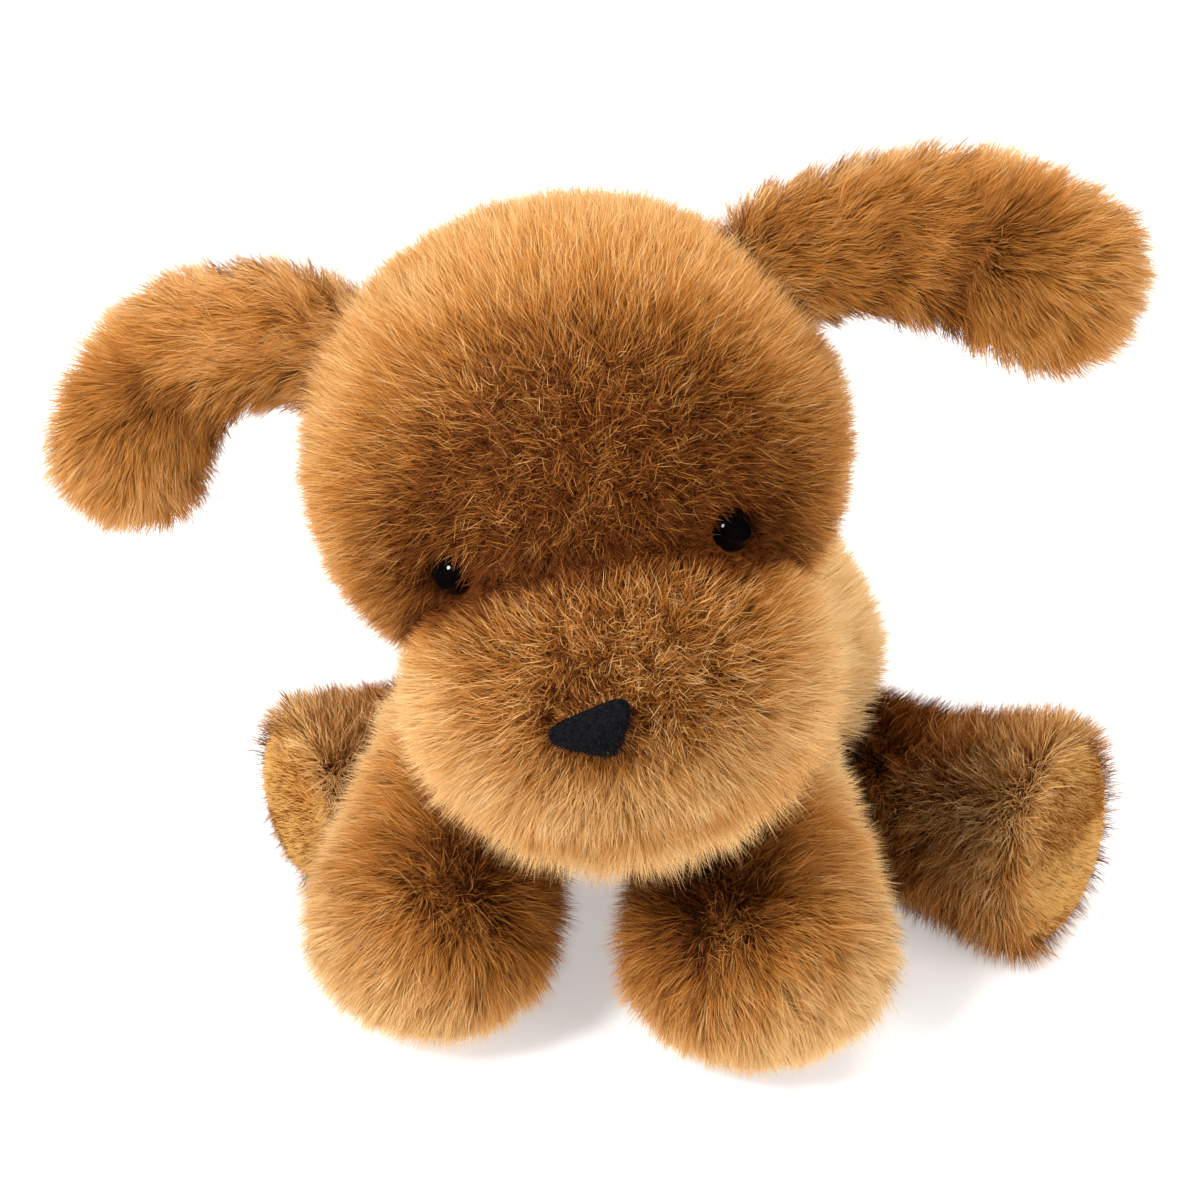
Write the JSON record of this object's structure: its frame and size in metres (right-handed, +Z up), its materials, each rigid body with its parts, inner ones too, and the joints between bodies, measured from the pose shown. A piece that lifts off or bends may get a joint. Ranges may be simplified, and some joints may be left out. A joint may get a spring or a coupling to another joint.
{
  "type": "plush dog",
  "caption": "Long-pile golden-brown plush puppy that sits with its head up, padded ears out to the sides and all its legs splayed.",
  "frame": {"origin": "on the floor, under the middle of the puppy's box", "axes": "+Z up, the face looks along -Y, +X is the puppy's own left and the ear-to-ear direction"},
  "size_m": [0.2552, 0.2044, 0.2035],
  "materials": {
    "fur_plush": "long golden-brown pile on a knitted backing",
    "sole_plush": "short yellow-brown pile",
    "fibrefill": "loose white polyester fibre",
    "pellet_pouch": "woven cotton pouch of pellets",
    "eye_plastic": "polished black",
    "washer_plastic": "natural white",
    "nose_felt": "black velour"
  },
  "bodies": {
    "torso": {"torso_left_panel": "fur_plush", "torso_right_panel": "fur_plush", "torso_belly_panel": "fur_plush", "torso_stuffing": "fibrefill", "bean_pouch": "pellet_pouch"},
    "neck": {"neck_stuffing": "fibrefill"},
    "head": {"head_left_panel": "fur_plush", "head_right_panel": "fur_plush", "head_gusset": "fur_plush", "muzzle_left_panel": "fur_plush", "muzzle_right_panel": "fur_plush", "chin_panel": "fur_plush", "head_stuffing": "fibrefill", "eye_left": "eye_plastic", "eye_right": "eye_plastic", "eye_washer_left": "washer_plastic", "eye_washer_right": "washer_plastic", "nose": "nose_felt"},
    "ear_left": {"ear_left_back_panel": "fur_plush", "ear_left_front_panel": "fur_plush", "ear_left_stuffing": "fibrefill"},
    "ear_right": {"ear_right_back_panel": "fur_plush", "ear_right_front_panel": "fur_plush", "ear_right_stuffing": "fibrefill"},
    "foreleg_left": {"foreleg_left_inner_panel": "fur_plush", "foreleg_left_outer_panel": "fur_plush", "foreleg_left_sole": "sole_plush", "foreleg_left_stuffing": "fibrefill"},
    "foreleg_right": {"foreleg_right_inner_panel": "fur_plush", "foreleg_right_outer_panel": "fur_plush", "foreleg_right_sole": "sole_plush", "foreleg_right_stuffing": "fibrefill"},
    "hind_leg_left": {"hind_leg_left_front_panel": "fur_plush", "hind_leg_left_rear_panel": "fur_plush", "hind_leg_left_sole": "sole_plush", "hind_leg_left_stuffing": "fibrefill"},
    "hind_leg_right": {"hind_leg_right_front_panel": "fur_plush", "hind_leg_right_rear_panel": "fur_plush", "hind_leg_right_sole": "sole_plush", "hind_leg_right_stuffing": "fibrefill"},
    "tail": {"tail_left_panel": "fur_plush", "tail_right_panel": "fur_plush", "tail_stuffing": "fibrefill"}
  },
  "joints": [
    {"name": "head_turn", "type": "hinge", "parent": "torso", "child": "neck", "pos_m": [-0.00248, -0.00117, 0.093], "axis": [0, 0, 1], "range_deg": [-20, 20], "stiffness_Nm_per_rad": 1.5},
    {"name": "head_nod", "type": "hinge", "parent": "neck", "child": "head", "pos_m": [-0.00248, -0.00117, 0.093], "axis": [1, 0, 0], "range_deg": [-15, 3], "stiffness_Nm_per_rad": 2.5},
    {"name": "ear_left_flap", "type": "hinge", "parent": "head", "child": "ear_left", "pos_m": [0.03652, 0.00583, 0.178], "axis": [-0.0637, 0.9856, 0.1564], "range_deg": [-25, 25], "stiffness_Nm_per_rad": 0.15},
    {"name": "ear_right_flap", "type": "hinge", "parent": "head", "child": "ear_right", "pos_m": [-0.05848, 0.00583, 0.153], "axis": [-0.0637, 0.9856, 0.1564], "range_deg": [-25, 25], "stiffness_Nm_per_rad": 0.15},
    {"name": "foreleg_left_swing", "type": "hinge", "parent": "torso", "child": "foreleg_left", "pos_m": [0.03252, -0.01817, 0.058], "axis": [1, 0, 0], "range_deg": [-15, 2], "stiffness_Nm_per_rad": 0.5},
    {"name": "foreleg_right_swing", "type": "hinge", "parent": "torso", "child": "foreleg_right", "pos_m": [-0.03048, -0.01417, 0.058], "axis": [1, 0, 0], "range_deg": [-15, 2], "stiffness_Nm_per_rad": 0.5},
    {"name": "hind_leg_left_swing", "type": "hinge", "parent": "torso", "child": "hind_leg_left", "pos_m": [0.05452, 0.01883, 0.023], "axis": [0, 0, 1], "range_deg": [-2, 28], "stiffness_Nm_per_rad": 0.5},
    {"name": "hind_leg_right_swing", "type": "hinge", "parent": "torso", "child": "hind_leg_right", "pos_m": [-0.01948, 0.03083, 0.022], "axis": [0, 0, 1], "range_deg": [-28, 0], "stiffness_Nm_per_rad": 0.5},
    {"name": "tail_wag", "type": "hinge", "parent": "torso", "child": "tail", "pos_m": [0.03152, 0.06983, 0.044], "axis": [0, 0, 1], "range_deg": [-25, 25], "stiffness_Nm_per_rad": 0.06}
  ]
}
